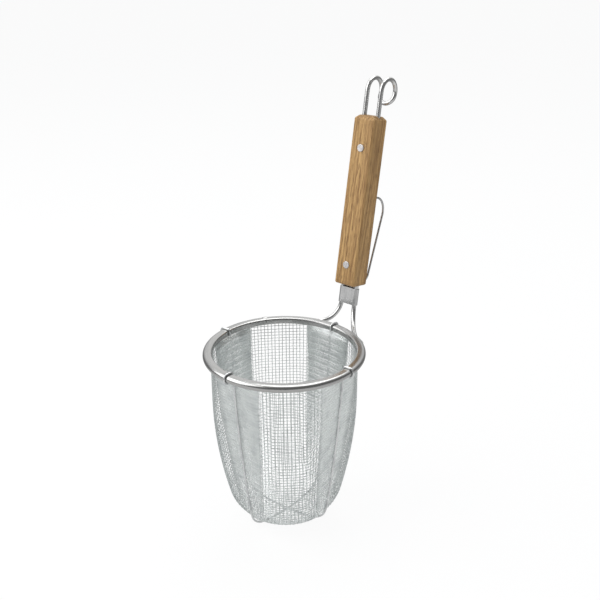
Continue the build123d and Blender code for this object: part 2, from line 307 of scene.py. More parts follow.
def ring_coordinates(tree):
    """Drawn out round the cup's axis: distance from it, height, and a small share of the bearing."""
    place = add(tree, "ShaderNodeTexCoord")
    x, y, z = split_axes(tree, place.outputs["Object"])
    x_squared = formula(tree, "MULTIPLY", x, x)
    y_squared = formula(tree, "MULTIPLY", y, y)
    out = formula(tree, "SQRT", formula(tree, "ADD", x_squared, y_squared))
    bearing = formula(tree, "ARCTAN2", y, x)
    join = add(tree, "ShaderNodeCombineXYZ")
    tree.links.new(out, join.inputs[0])
    tree.links.new(z, join.inputs[1])
    tree.links.new(formula(tree, "MULTIPLY", bearing, BAND_LENGTHWAYS_SHARE), join.inputs[2])
    return join.outputs[0]


def clasp_coordinates(tree):
    """Drawn out along the clasp, which leans with the grip."""
    return object_coordinates(tree, scale=(1, 1, CLASP_LENGTHWAYS_SHARE), turn=(GRIP_LEAN, 0, 0))


def metal_material(name, coordinates, **settings):
    material, tree, shader = new_material(name)
    use_metal_skin(tree, shader, coordinates(tree), **settings)
    lay_out(tree)
    return material


bright_wire = metal_material(
    "bright_drawn_wire", object_coordinates,
    tone=(0.72, 0.72, 0.71), dull=(0.52, 0.52, 0.52),
    cloud=90.0, grit=1300.0, polish=0.20, dullness=0.30, relief=0.08,
)
rib_wire = metal_material(
    "rib_wire", object_coordinates,
    tone=(0.78, 0.79, 0.79), dull=(0.50, 0.51, 0.52),
    cloud=70.0, grit=1500.0, polish=0.24, dullness=0.36, relief=0.10,
)
spring_wire = metal_material(
    "spring_wire", object_coordinates,
    tone=(0.60, 0.60, 0.60), dull=(0.36, 0.36, 0.36),
    cloud=60.0, grit=1500.0, polish=0.18, dullness=0.32, relief=0.10,
)
rolled_band = metal_material(
    "rolled_band", ring_coordinates,
    tone=(0.50, 0.50, 0.49), dull=(0.36, 0.36, 0.36),
    cloud=220.0, grit=2600.0, polish=0.19, dullness=0.30, relief=0.12,
)
core_wire = metal_material(
    "core_wire", ring_coordinates,
    tone=(0.55, 0.55, 0.55), dull=(0.34, 0.34, 0.34),
    cloud=120.0, grit=1500.0, polish=0.25, dullness=0.42, relief=0.10,
)
clasp_sheet = metal_material(
    "clasp_sheet", clasp_coordinates,
    tone=(0.66, 0.66, 0.66), dull=(0.46, 0.46, 0.46),
    cloud=180.0, grit=2400.0, polish=0.10, dullness=0.22, relief=0.10,
)
rivet_metal = metal_material(
    "rivet_metal", object_coordinates,
    tone=(0.70, 0.68, 0.68), dull=(0.56, 0.54, 0.54),
    cloud=320.0, grit=2200.0, polish=0.46, dullness=0.58, relief=0.14,
)

# The strips of square cloth, measured from the corner lines in millimetres, and the painted shade on
# their wires
SQUARE_CLOTH_WITHIN = 21.0
SHEARED_CLOTH_FROM = 27.0
SQUARE_CLOTH_PAINTED_SHADE = (0.74, 0.75, 0.75, 1)


def make_woven_wire():
    """Bright wire, with painted shade where the cloth stands square: darker there, standing in for
    the darker reflections of its thin wires.
    """
    material, tree, shader = new_material("woven_wire")
    place = object_coordinates(tree, turn=(0, 0, radians(-CORNER_AZIMUTH)))
    skin = use_metal_skin(
        tree, shader, place,
        tone=(0.95, 0.98, 0.97), dull=(0.79, 0.82, 0.82),
        cloud=90.0, grit=1100.0, polish=0.26, dullness=0.38, relief=0.05,
    )
    x, y, _ = split_axes(tree, place)
    along, across = (
        spread(
            tree, formula(tree, "ABSOLUTE", axis),
            SQUARE_CLOTH_WITHIN * MM, SHEARED_CLOTH_FROM * MM, to_low=1.0, to_high=0.0,
        )
        for axis in (x, y)
    )
    # Painted shade: the wire's colour is multiplied darker in the square strips, standing in for
    # their darker reflections
    square = formula(tree, "MAXIMUM", along, across)
    painted_shade_colour = mix_colour(tree, square, skin.outputs["Color"], SQUARE_CLOTH_PAINTED_SHADE, "MULTIPLY")
    tree.links.new(painted_shade_colour, shader.inputs["Base Color"])
    lay_out(tree)
    return material


woven_wire = make_woven_wire()


# Wood of the grip

GRAIN_LENGTHWAYS_SHARE = 0.028
PORE_LENGTHWAYS_SHARE = 0.065
PORES_PER_LINE = 1.7
LINE_HEIGHT_SHARE = 0.5
GRAIN_HEIGHT = 0.0003
GRAIN_RELIEF = 0.35
WOOD_GLOSS = 0.35
EDGE_DARK_TONE = (0.20, 0.115, 0.05, 1)
EDGE_DARK_SHARE = 0.35
EDGE_DARK_WIDTH = 2.05
EDGE_DARK_PAST = 0.05
FOOT_DARK_LENGTH = 4.5
TOP_DARK_LENGTH = 4.0


def drawn_out(tree, place, share):
    """A place that changes slowly along Z, so that a pattern on it is drawn out that way."""
    mapping = add(tree, "ShaderNodeMapping")
    mapping.inputs["Scale"].default_value = (1, 1, share)
    tree.links.new(place, mapping.inputs["Vector"])
    return mapping.outputs[0]


def make_wood_grain():
    """Straight-grained bare wood: growth bands, fine lines and short pores."""
    group, read, write = new_group(
        "straight_grain",
        {
            "Along Z": VECTOR, "Pale": COLOUR, "Dark": COLOUR, "Pore": COLOUR,
            "Band scale": NUMBER, "Line scale": NUMBER,
        },
        {"Color": COLOUR, "Roughness": NUMBER, "Height": NUMBER},
    )
    long_grain = drawn_out(group, read["Along Z"], GRAIN_LENGTHWAYS_SHARE)
    short_grain = drawn_out(group, read["Along Z"], PORE_LENGTHWAYS_SHARE)
    pore_scale = formula(group, "MULTIPLY", read["Line scale"], PORES_PER_LINE)
    band = noise(group, long_grain, read["Band scale"], detail=3.0, roughness=0.55)
    line = noise(group, long_grain, read["Line scale"], detail=4.0, roughness=0.6)
    pore = noise(group, short_grain, pore_scale, detail=1.0, roughness=0.5)
    band_mask = spread(group, band, low=0.36, high=0.66, to_high=0.42)
    line_mask = spread(group, line, low=0.38, high=0.62, to_high=0.66)
    pore_mask = spread(group, pore, low=0.57, high=0.66, to_high=0.80)
    both = formula(group, "ADD", band_mask, line_mask)
    wood = mix_colour(group, both, read["Pale"], read["Dark"])
    wood = mix_colour(group, pore_mask, wood, read["Pore"])
    rough = spread(group, both, low=0.0, high=1.0, to_low=0.46, to_high=0.62)
    line_height = formula(group, "MULTIPLY", line, LINE_HEIGHT_SHARE)
    group.links.new(wood, write["Color"])
    group.links.new(rough, write["Roughness"])
    group.links.new(formula(group, "SUBTRACT", line_height, pore_mask), write["Height"])
    lay_out(group)
    return group


WOOD_GRAIN = make_wood_grain()


def grip_coordinates(tree):
    """Straight up the leaning grip, from the middle of its foot."""
    foot_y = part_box("grip_back_half")[0][1]
    foot_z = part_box("grip_front_half")[0][2]
    shift_y = foot_z * sin(GRIP_LEAN) - foot_y * cos(GRIP_LEAN)
    shift_z = -foot_y * sin(GRIP_LEAN) - foot_z * cos(GRIP_LEAN)
    return object_coordinates(tree, turn=(GRIP_LEAN, 0, 0), shift=(0, shift_y, shift_z))


def darker_edges(tree, place):
    """1 along the grip's long edges and at its two ends, and 0 on its faces."""
    x, y, z = split_axes(tree, place)
    side, back = (
        spread(
            tree, formula(tree, "ABSOLUTE", axis),
            (half - EDGE_DARK_WIDTH) * MM, (half + EDGE_DARK_PAST) * MM,
        )
        for axis, half in ((x, GRIP_HALF_WIDTH), (y, GRIP_HALF_THICKNESS))
    )
    foot = spread(tree, z, FOOT_DARK_LENGTH * MM, 0.0)
    top = spread(tree, z, (GRIP_LENGTH - TOP_DARK_LENGTH) * MM, GRIP_LENGTH * MM)
    edge = formula(tree, "MULTIPLY", side, back)
    return formula(tree, "MAXIMUM", edge, formula(tree, "MAXIMUM", foot, top))


def make_grip_wood():
    """Smooth bare wood, a little darker along its edges and at its ends."""
    material, tree, shader = new_material("grip_wood")
    place = grip_coordinates(tree)
    grain = add(tree, "ShaderNodeGroup", node_tree=WOOD_GRAIN)
    settings = {
        "Along Z": place, "Pale": (0.580, 0.358, 0.142, 1), "Dark": (0.255, 0.136, 0.048, 1),
        "Pore": (0.170, 0.088, 0.032, 1), "Band scale": 200.0, "Line scale": 840.0,
    }
    for label, value in settings.items():
        feed(tree, grain.inputs[label], value)
    # The grip is made darker along its long edges and at its two ends
    darker_share = formula(tree, "MULTIPLY", darker_edges(tree, place), EDGE_DARK_SHARE)
    colour = mix_colour(tree, darker_share, grain.outputs["Color"], EDGE_DARK_TONE)
    bump = add(tree, "ShaderNodeBump")
    bump.inputs["Strength"].default_value = GRAIN_RELIEF
    bump.inputs["Distance"].default_value = GRAIN_HEIGHT
    tree.links.new(grain.outputs["Height"], bump.inputs["Height"])
    tree.links.new(colour, shader.inputs["Base Color"])
    tree.links.new(grain.outputs["Roughness"], shader.inputs["Roughness"])
    tree.links.new(bump.outputs[0], shader.inputs["Normal"])
    shader.inputs["Specular IOR Level"].default_value = WOOD_GLOSS
    lay_out(tree)
    return material


grip_wood = make_grip_wood()


# Finish of each solid piece

FINISHES = {
    "rim_channel": rolled_band,
    "rim_core_wire": core_wire,
    "long_rib_wire": rib_wire,
    "cross_rib_wire": rib_wire,
    "stem_hook_wire": bright_wire,
    "stem_clasp": clasp_sheet,
    "grip_front_half": grip_wood,
    "grip_back_half": grip_wood,
    "grip_rivets": rivet_metal,
    "pot_clip": spring_wire,
    "basket_mesh": woven_wire,
}
for node_name, finish in FINISHES.items():
    slots = nodes[node_name].data.materials
    slots.clear()
    slots.append(finish)


# Profile of the cup and of the ribs that hold its cloth

FAR_AWAY = 200.0
LEAST_REACH = 5.0
BLEND_POWER = 40.0


def three_arcs(floor_z, floor_r, turn_r, sweep_r, top_r, top_z, lean):
    """Centres and turning points of a profile's floor, corner and long sweep."""
    sweep_x = top_r - sweep_r * cos(lean)
    sweep_z = top_z + sweep_r * sin(lean)
    centre_z = floor_z + floor_r
    from_floor, from_sweep = floor_r - turn_r, sweep_r - turn_r
    over = sweep_z - centre_z
    apart = hypot(sweep_x, over)
    along = (from_floor**2 - from_sweep**2 + apart**2) / (2 * apart)
    aside = sqrt(from_floor**2 - along**2)
    corner_x = (sweep_x * along - over * aside) / apart
    corner_z = centre_z + (over * along + sweep_x * aside) / apart
    floor_turn = atan2(corner_x, centre_z - corner_z)
    sweep_start = atan2(sweep_z - corner_z, corner_x - sweep_x)
    return sweep_x, sweep_z, centre_z, corner_x, corner_z, floor_turn, sweep_start


SWEEP_X, SWEEP_Z, FLOOR_CENTRE_Z, CORNER_X, CORNER_Z, FLOOR_TURN, SWEEP_START = three_arcs(
    MESH_FLOOR_Z, BOWL_R, CORNER_R, WALL_SWEEP_R, MESH_R, RIM_Z - WALL_DEPTH, 0.0
)
FLOOR_END = BOWL_R * FLOOR_TURN
CORNER_END = FLOOR_END + CORNER_R * (QUARTER_TURN - FLOOR_TURN - SWEEP_START)
SWEEP_END = CORNER_END + WALL_SWEEP_R * SWEEP_START
CLOTH_TOP = SWEEP_END + WALL_DEPTH + MESH_TOP_RISE
RIB_WALL_Z = RIM_Z - RIB_TO_BEAD - RIB_UNDER_RIM_R * (1 - sin(RIB_WALL_LEAN))
RIB_X, RIB_Z, _, RIB_CORNER_X, RIB_CORNER_Z, _, RIB_START = three_arcs(
    RIB_FLOOR_Z, RIB_FLOOR_R, RIB_CORNER_R, RIB_SWEEP_R, RIB_WALL_R, RIB_WALL_Z, RIB_WALL_LEAN
)


def round_profile(run):
    """Distance from the axis and height, for a length run up the cup from its floor's middle."""
    turn = np.clip(run, 0, FLOOR_END) / BOWL_R
    out = BOWL_R * np.sin(turn)
    height = FLOOR_CENTRE_Z - BOWL_R * np.cos(turn)
    turn = FLOOR_TURN + np.clip(run - FLOOR_END, 0, CORNER_END - FLOOR_END) / CORNER_R
    out = np.where(run > FLOOR_END, CORNER_X + CORNER_R * np.sin(turn), out)
    height = np.where(run > FLOOR_END, CORNER_Z - CORNER_R * np.cos(turn), height)
    turn = SWEEP_START - np.clip(run - CORNER_END, 0, SWEEP_END - CORNER_END) / WALL_SWEEP_R
    out = np.where(run > CORNER_END, SWEEP_X + WALL_SWEEP_R * np.cos(turn), out)
    height = np.where(run > CORNER_END, SWEEP_Z - WALL_SWEEP_R * np.sin(turn), height)
    return out, height + np.clip(run - SWEEP_END, 0, None)


def flat_distance(height):
    """How far from the axis the ribs hold the cloth, at each height."""
    reach = RIB_SWEEP_R - RIB_TO_CLOTH
    wall = RIB_X + np.sqrt(reach**2 - (height - RIB_Z) ** 2)
    turn_reach = RIB_CORNER_R - RIB_TO_CLOTH
    turn_top = RIB_CORNER_Z - turn_reach * sin(RIB_START)
    inside_turn = turn_reach**2 - (height - RIB_CORNER_Z) ** 2
    turn = RIB_CORNER_X + np.sqrt(np.maximum(inside_turn, LEAST_REACH**2))
    wall = np.where(height < turn_top, turn, wall)
    bend_x = RIB_WALL_R + RIB_UNDER_RIM_R * cos(RIB_WALL_LEAN)
    bend_z = RIB_WALL_Z - RIB_UNDER_RIM_R * sin(RIB_WALL_LEAN)
    bend_reach = RIB_UNDER_RIM_R + RIB_TO_CLOTH
    bend = bend_x - np.sqrt(np.maximum(bend_reach**2 - (height - bend_z) ** 2, 0))
    above = np.where(height - bend_z < bend_reach, bend, FAR_AWAY)
    return np.where(height > RIB_WALL_Z, above, wall)


def cloth_point(bearing, run, rib_bearing=0.0):
    """A point on the cup: the round bowl, drawn in to the flat beside the nearest rib."""
    out, height = round_profile(run)
    flat = flat_distance(height) / np.cos(bearing - rib_bearing)
    reach = out * (1 + (out / flat) ** BLEND_POWER) ** (-1 / BLEND_POWER)
    return np.stack([reach * np.cos(bearing), reach * np.sin(bearing), height], -1)


# Laying the cloth: a quarter of the cup, counted in wires from its two corner lines

CLOTH_COUNT = 71
CORNER_COLUMNS = 8
EASED_COLUMNS = 2
EASED_SHARE = 0.5
FOOT_ROW = 10
WALL_ROW = 20
ROW_RISE = 0.0036
TIGHTEST_CELL = 0.82
SET_MIDDLE_R = 12.0
KEPT_PAST_TOP = 12.0
FURTHEST_PAST_TOP = 40.0

# First guess of where the crossings lie
FLAT_RUN = 25
BEND_RUN = 30
LEAST_CLIMB_SHARE = 0.9
CORNER_SPAN_SHARE = 0.6
LEAST_OUT = 5.0
LEAST_STRIP_OUT = 1.0

# Settling of the cloth, step by step
SETTLING_STEPS = 1200
PULL_SHARE = 1.2
SPRING_SHARE = 0.1
GLIDE_SHARE = 0.85
PROBE = 1e-3
LONGEST_TURN = 0.05
LONGEST_CLIMB = 2

I, J = np.meshgrid(np.arange(CLOTH_COUNT), np.arange(CLOTH_COUNT), indexing="ij")
NEAR, FAR = np.minimum(I, J), np.maximum(I, J)
STRAIGHT = np.hypot(I, J) * CLOTH_PITCH
ON_LINE = (I == 0) | (J == 0)
IN_STRIP = (NEAR <= CORNER_COLUMNS) & (FAR >= WALL_ROW)


def from_nearer_line(turn):
    """A turn away from the nearer corner line, as a bearing from the rib between the two."""
    return np.where(I >= J, -EIGHTH_TURN + turn, EIGHTH_TURN - turn)


def guess_crossings():
    """Flat on the floor, square at the corners and evenly spread beside the ribs."""
    share = np.clip((STRAIGHT - FLAT_RUN) / BEND_RUN, 0, 1)
    climb = CLOTH_PITCH * (FAR + np.maximum(0, NEAR - CORNER_COLUMNS))
    run = STRAIGHT * (1 - share) + np.maximum(climb, STRAIGHT * LEAST_CLIMB_SHARE) * share
    out = np.maximum(round_profile(run)[0], LEAST_OUT)
    widest = EIGHTH_TURN * CORNER_SPAN_SHARE
    corner = np.minimum(CORNER_COLUMNS * CLOTH_PITCH / out, widest)
    beside = np.minimum(np.minimum(NEAR, CORNER_COLUMNS) * CLOTH_PITCH / out, widest)
    past = np.clip((NEAR - CORNER_COLUMNS) / np.maximum(FAR - CORNER_COLUMNS, TINY), 0, 1)
    past = np.where(FAR > CORNER_COLUMNS, past, 0)
    wall = np.where(NEAR <= CORNER_COLUMNS, beside, corner + (EIGHTH_TURN - corner) * past)
    wall = from_nearer_line(np.where(I == J, EIGHTH_TURN, wall))
    return (np.arctan2(J, I) - EIGHTH_TURN) * (1 - share) + wall * share, run


def set_strips(bearing, run):
    """Sets the corner lines and the square strips beside them in their places."""
    run = np.where(ON_LINE, STRAIGHT, run)
    bearing = np.where(J == 0, -EIGHTH_TURN, np.where(I == 0, EIGHTH_TURN, bearing))
    bearing[0, 0] = 0
    strip_run = FAR * CLOTH_PITCH + ROW_RISE * (NEAR * CLOTH_PITCH) ** 2
    strip_out = np.maximum(round_profile(strip_run)[0], LEAST_STRIP_OUT)
    strip_bearing = from_nearer_line(NEAR * CLOTH_PITCH / strip_out)
    return np.where(IN_STRIP, strip_bearing, bearing), np.where(IN_STRIP, strip_run, run)


def list_ties():
    """What holds the crossings apart: from, to, length, whether it only pushes, and where.

    Wires keep their length, cells stay square in the strips, and none shears flatter than
    its wires allow.
    """
    near, far = NEAR[:-1, :-1], FAR[:-1, :-1]
    square = (near < CORNER_COLUMNS) & (far >= FOOT_ROW)
    diagonal = CLOTH_PITCH * sqrt(2)
    nearness = np.clip((CORNER_COLUMNS + EASED_COLUMNS - near) / EASED_COLUMNS, 0, 1)
    eased = EASED_SHARE * nearness**2 * (far >= FOOT_ROW)
    tightest = TIGHTEST_CELL + (diagonal - TIGHTEST_CELL) * eased
    first, last, every = slice(0, -1), slice(1, None), slice(None)
    return [
        ((first, every), (last, every), CLOTH_PITCH, False, None),
        ((every, first), (every, last), CLOTH_PITCH, False, None),
        ((last, first), (first, last), tightest, True, None),
        ((last, first), (first, last), diagonal, False, square),
        ((first, first), (last, last), diagonal, False, square),
    ]


def pull_of_ties(point, ties, kept):
    """The mean pull of the ties on each crossing."""
    pull = np.zeros_like(point)
    pulls = np.zeros(point.shape[:2])
    for one, other, length, only_pushes, where in ties:
        between = point[other] - point[one]
        distance = np.linalg.norm(between, axis=-1) + TINY
        acting = kept[one] & kept[other]
        if where is not None:
            acting = acting & where
        if only_pushes:
            acting = acting & (distance < length)
        move = (0.5 * (distance - length) / distance * acting)[..., None] * between
        pull[one] += move
        pull[other] -= move
        pulls[one] += acting
        pulls[other] += acting
    return pull * (PULL_SHARE / np.maximum(pulls, 1))[..., None]


def add_spring(pull, point, kept):
    """Each wire is springy, so it bends evenly."""
    before, middle, after, every = slice(0, -2), slice(1, -1), slice(2, None), slice(None)
    for low, centre, high in (
        ((before, every), (middle, every), (after, every)),
        ((every, before), (every, middle), (every, after)),
    ):
        acting = (kept[low] & kept[centre] & kept[high])[..., None]
        pull[centre] += SPRING_SHARE * acting * (0.5 * (point[low] + point[high]) - point[centre])


def along_cup(pull, point, bearing, run):
    """The turn and the climb that follow a pull as nearly as the cup's surface lets them."""
    by_run = (cloth_point(bearing, run + PROBE) - point) / PROBE
    by_bearing = (cloth_point(bearing + PROBE, run) - point) / PROBE
    bb = (by_bearing * by_bearing).sum(-1) + TINY
    br = (by_bearing * by_run).sum(-1)
    rr = (by_run * by_run).sum(-1) + TINY
    pb, pr = (by_bearing * pull).sum(-1), (by_run * pull).sum(-1)
    size = bb * rr - br * br + TINY
    return (pb * rr - pr * br) / size, (bb * pr - br * pb) / size


def lay_cloth():
    """Lays square woven cloth over a quarter of the cup: each crossing's bearing and run.

    The wires keep their length, stay square down the rounded corners, and shear beside the
    ribs.
    """
    bearing, run = set_strips(*guess_crossings())
    kept = run < CLOTH_TOP + KEPT_PAST_TOP
    free = kept & ~(ON_LINE | IN_STRIP | (STRAIGHT < SET_MIDDLE_R))
    ties = list_ties()
    turn_speed = climb_speed = 0.0
    for _ in range(SETTLING_STEPS):
        point = cloth_point(bearing, run)
        pull = pull_of_ties(point, ties, kept)
        add_spring(pull, point, kept)
        turn, climb = along_cup(pull, point, bearing, run)
        turn_speed = np.clip(GLIDE_SHARE * turn_speed + turn, -LONGEST_TURN, LONGEST_TURN)
        climb_speed = np.clip(GLIDE_SHARE * climb_speed + climb, -LONGEST_CLIMB, LONGEST_CLIMB)
        turn_speed, climb_speed = np.where(free, turn_speed, 0), np.where(free, climb_speed, 0)
        turned = np.clip(bearing + turn_speed, -EIGHTH_TURN, EIGHTH_TURN)
        climbed = np.clip(run + climb_speed, 0, CLOTH_TOP + FURTHEST_PAST_TOP)
        bearing, run = np.where(free, turned, bearing), np.where(free, climbed, run)
    return bearing, run, kept


QUARTER_BEARING, QUARTER_RUN, QUARTER_KEPT = lay_cloth()


# The whole cloth, from four quarters that meet along the corner lines

CROSS_RIB_SWELL = 1.6
LONG_RIB_SWELL = 3.7
SWELL_RUN = 33.0
SWELL_EASE_IN = 14.0
SWELL_EASE_OUT = 6.5
SWELL_WIDTH = 0.24
RUN_PROBE = 0.2
TURN_PROBE = 0.01
MIDDLE_RUN = 0.5
DOWN = np.array([0.0, 0.0, -1.0])


def true_bearing(even):
    """Ribs aren't quite square to each other: turns even quarters to the real ones."""
    middle = CORNER_AZIMUTH - 45
    swing = (CROSS_RIB_AZIMUTH - LONG_RIB_AZIMUTH + 90) / 2
    return even + np.radians(middle + swing * np.cos(2 * even))


def pressed_point(even_bearing, run):
    """A point on the whole cup, which is pushed out to each rib at the edge of the foot."""
    turned = true_bearing(even_bearing)
    nearest = np.round(even_bearing / QUARTER_TURN)
    rib = true_bearing(nearest * QUARTER_TURN)
    point = cloth_point(turned, run, rib)
    swell = np.where(nearest % 2 == 0, CROSS_RIB_SWELL, LONG_RIB_SWELL)
    ease = np.where(run < SWELL_RUN, SWELL_EASE_IN, SWELL_EASE_OUT)
    along, across = ((run - SWELL_RUN) / ease) ** 2, ((turned - rib) / SWELL_WIDTH) ** 2
    swell = swell * np.exp(-along - across)
    turn = np.minimum(run, FLOOR_END) / BOWL_R
    turn = turn + np.clip(run - FLOOR_END, 0, CORNER_END - FLOOR_END) / CORNER_R
    point[..., 0] += swell * np.sin(turn) * np.cos(turned)
    point[..., 1] += swell * np.sin(turn) * np.sin(turned)
    point[..., 2] -= swell * np.cos(turn)
    return point


def unit(vectors):
    return vectors / (np.linalg.norm(vectors, axis=-1, keepdims=True) + TINY)


def whole_crossings(u, v):
    """The place, outward direction and run of each crossing (u, v), and whether it is kept."""
    i, j = np.abs(u), np.abs(v)
    quarter, run, kept = QUARTER_BEARING[i, j], QUARTER_RUN[i, j], QUARTER_KEPT[i, j]
    even = np.where(
        v >= 0,
        np.where(u >= 0, quarter, QUARTER_TURN - quarter),
        np.where(u >= 0, 3 * QUARTER_TURN - quarter, 2 * QUARTER_TURN + quarter),
    )
    off_middle = np.maximum(run, MIDDLE_RUN)
    by_run = pressed_point(even, off_middle + RUN_PROBE)
    by_run = by_run - pressed_point(even, off_middle - RUN_PROBE)
    by_bearing = pressed_point(even + TURN_PROBE, off_middle)
    by_bearing = by_bearing - pressed_point(even - TURN_PROBE, off_middle)
    outward = unit(np.cross(by_bearing, by_run))
    outward = np.where((run < MIDDLE_RUN)[..., None], DOWN, outward)
    return pressed_point(even, run), outward, run, kept


REACH = CLOTH_COUNT - 1
COUNTERS = np.arange(-REACH, REACH + 1)
ALL_U, ALL_V = np.meshgrid(COUNTERS, COUNTERS, indexing="ij")
EVEN_PLACE, OUTWARD, RUN, KEPT = whole_crossings(ALL_U, ALL_V)


# How each wire strays a little from its even place, and the ripples of the sheared cloth

WIRE_STRAY = 0.2
STRAY_SEED = 8
STRAY_SHARE = 0.6
MOST_UNEVEN = 1.6
WAVE_RATE = 0.22
WAVE_RATE_SPREAD = 0.04
WAVE_START_SPREAD = 3
STRAY_STOPS_BELOW_TOP = 4
RIPPLE_DIP = 0.42
RIPPLE_SHEAR = 0.35
RIPPLE_SHEAR_SPAN = 0.35
RIPPLE_STOPS_BELOW_TOP = 6


def stray_and_ripple():
    """Each crossing's place with its stray, and how far the wires dip beside it.

    Where the wires are sheared nearly flat together, they dip between the crossings.
    """
    by_u, by_v = unit(np.gradient(EVEN_PLACE, axis=0)), unit(np.gradient(EVEN_PLACE, axis=1))
    shear = np.abs((by_u * by_v).sum(-1))
    rippled = np.clip((shear - RIPPLE_SHEAR) / RIPPLE_SHEAR_SPAN, 0, 1)
    ripple = RIPPLE_DIP * rippled * (RUN < CLOTH_TOP - RIPPLE_STOPS_BELOW_TOP)
    chance = np.random.default_rng(STRAY_SEED)
    stray = 0.0
    for way, counter, other in ((by_u, ALL_U, ALL_V), (by_v, ALL_V, ALL_U)):
        even, start, pace = chance.normal(size=(3, len(COUNTERS)))[:, counter + REACH]
        wave = np.sin(other * (WAVE_RATE + WAVE_RATE_SPREAD * pace) + WAVE_START_SPREAD * start)
        uneven = np.clip(even, -MOST_UNEVEN, MOST_UNEVEN)
        amount = WIRE_STRAY * (STRAY_SHARE * uneven + STRAY_SHARE * wave)
        stray = stray + way * amount[..., None]
    inside = (KEPT & (RUN < CLOTH_TOP - STRAY_STOPS_BELOW_TOP))[..., None]
    return EVEN_PLACE + stray * inside, ripple


PLACE, RIPPLE = stray_and_ripple()


# The woven wires

WIRE_SIDES = 6
SHORTEST_STUB_SHARE = 0.15


def wire_line(points, outward, lift, dip):
    """A wire's centreline: over and under, with a point between each two crossings.

    Each point between lies on the smooth curve through the four crossings round it.
    """
    before = 2 * points[:1] - points[1:2]
    after = 2 * points[-1:] - points[-2:-1]
    padded = np.concatenate([before, points, after])
    line = np.empty((2 * len(points) - 1, 3))
    line[0::2] = points + outward * lift[:, None]
    line[1::2] = (9 * (padded[1:-2] + padded[2:-1]) - padded[:-3] - padded[3:]) / 16
    faces_out = np.empty_like(line)
    faces_out[0::2] = outward
    faces_out[1::2] = (outward[1:] + outward[:-1]) / 2
    line[1::2] -= faces_out[1::2] * ((dip[1:] + dip[:-1]) / 2)[:, None]
    return line, faces_out


def tube_rings(line, outward):
    """The corners of a wire's sides, ring by ring along its line."""
    angles = np.arange(WIRE_SIDES) * 2 * pi / WIRE_SIDES
    along = unit(np.gradient(line, axis=0))
    aside = unit(np.cross(along, outward))
    over = np.cross(aside, along)
    aside_steps = CLOTH_WIRE_R * np.cos(angles)[None, :, None] * aside[:, None]
    over_steps = CLOTH_WIRE_R * np.sin(angles)[None, :, None] * over[:, None]
    return (line[:, None] + aside_steps + over_steps).reshape(-1, 3)


def tube_faces(rings, start):
    """The sides and the two ends of a closed tube whose corners are counted from start."""
    ring, side = np.meshgrid(np.arange(rings - 1), np.arange(WIRE_SIDES), indexing="ij")
    here, there = start + ring * WIRE_SIDES, start + (ring + 1) * WIRE_SIDES
    after = (side + 1) % WIRE_SIDES
    sides = np.stack([here + side, here + after, there + after, there + side], -1)
    last = start + (rings - 1) * WIRE_SIDES
    return [
        *sides.reshape(-1, 4).tolist(),
        [start + corner for corner in reversed(range(WIRE_SIDES))],
        [last + corner for corner in range(WIRE_SIDES)],
    ]


def weave(name, lines):
    """One piece of woven wire: a closed round tube along each line."""
    vertices, faces, start = [], [], 0
    for line, outward in lines:
        vertices.append(tube_rings(line, outward) * MM)
        faces.extend(tube_faces(len(line), start))
        start += len(line) * WIRE_SIDES
    data = bpy.data.meshes.new(name)
    data.from_pydata(np.concatenate(vertices).tolist(), [], faces)
    data.validate()
    data.shade_smooth()
    data.materials.append(woven_wire)
    piece = bpy.data.objects.new(name, data)
    scene.collection.objects.link(piece)
    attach(piece, "strainer")
    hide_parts("basket_mesh")


def cloth_lines(along_u, chosen):
    """The wires of one way of the weave, cut off at the top of the cup."""
    lines = []
    for index in chosen:
        row = index + REACH
        pick = (slice(None), row) if along_u else (row, slice(None))
        place, outward, run, kept = PLACE[pick], OUTWARD[pick], RUN[pick], KEPT[pick]
        over_first = 1 if along_u else -1
        lift = np.where((COUNTERS + index) % 2 == 0, CLOTH_WIRE_R, -CLOTH_WIRE_R) * over_first
        inside = kept & (run < CLOTH_TOP)
        edges = np.flatnonzero(np.diff(np.concatenate([[0], inside.astype(int), [0]])))
        for begin, end in zip(edges[0::2], edges[1::2]):
            if end - begin < 2:
                continue
            points, faces_out = list(place[begin:end]), list(outward[begin:end])
            lifts, dips = list(lift[begin:end]), list(RIPPLE[pick][begin:end])
            for inner, outer, first in ((begin, begin - 1, True), (end - 1, end, False)):
                if not (0 <= outer < len(run) and kept[outer]):
                    continue
                share = (CLOTH_TOP - run[inner]) / (run[outer] - run[inner])
                if share < SHORTEST_STUB_SHARE:
                    continue
                spot = 0 if first else len(points)
                points.insert(spot, place[inner] + (place[outer] - place[inner]) * share)
                faces_out.insert(spot, outward[inner])
                lifts.insert(spot, lift[inner] * (1 - 2 * share))
                dips.insert(spot, 0.0)
            lines.append(wire_line(*map(np.array, (points, faces_out, lifts, dips))))
    return lines


weave("cloth_warp_left", cloth_lines(True, range(-REACH, 0)))
weave("cloth_warp_right", cloth_lines(True, range(0, REACH + 1)))
weave("cloth_weft_front", cloth_lines(False, range(-REACH, 0)))
weave("cloth_weft_back", cloth_lines(False, range(0, REACH + 1)))


# Lap of the rim's band and weld of the ribs

MERGE_WITHIN = 1e-6
SHARPEST_SMOOTHED = radians(35)
WELD_R = 1.75 * RIB_R
WELD_FLATNESS_SHARE = 0.62


def finish_piece(piece, material):
    """Closes up a new piece, puts its place in its mesh and gives it its finish."""
    bpy.ops.mesh.select_all(action="SELECT")
    bpy.ops.mesh.remove_doubles(threshold=MERGE_WITHIN)
    bpy.ops.mesh.normals_make_consistent(inside=False)
    bpy.ops.object.mode_set(mode="OBJECT")
    bpy.ops.object.transform_apply(location=True, rotation=True, scale=True)
    bpy.ops.object.shade_smooth_by_angle(angle=SHARPEST_SMOOTHED)
    piece.data.materials.append(material)
    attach(piece, "strainer")


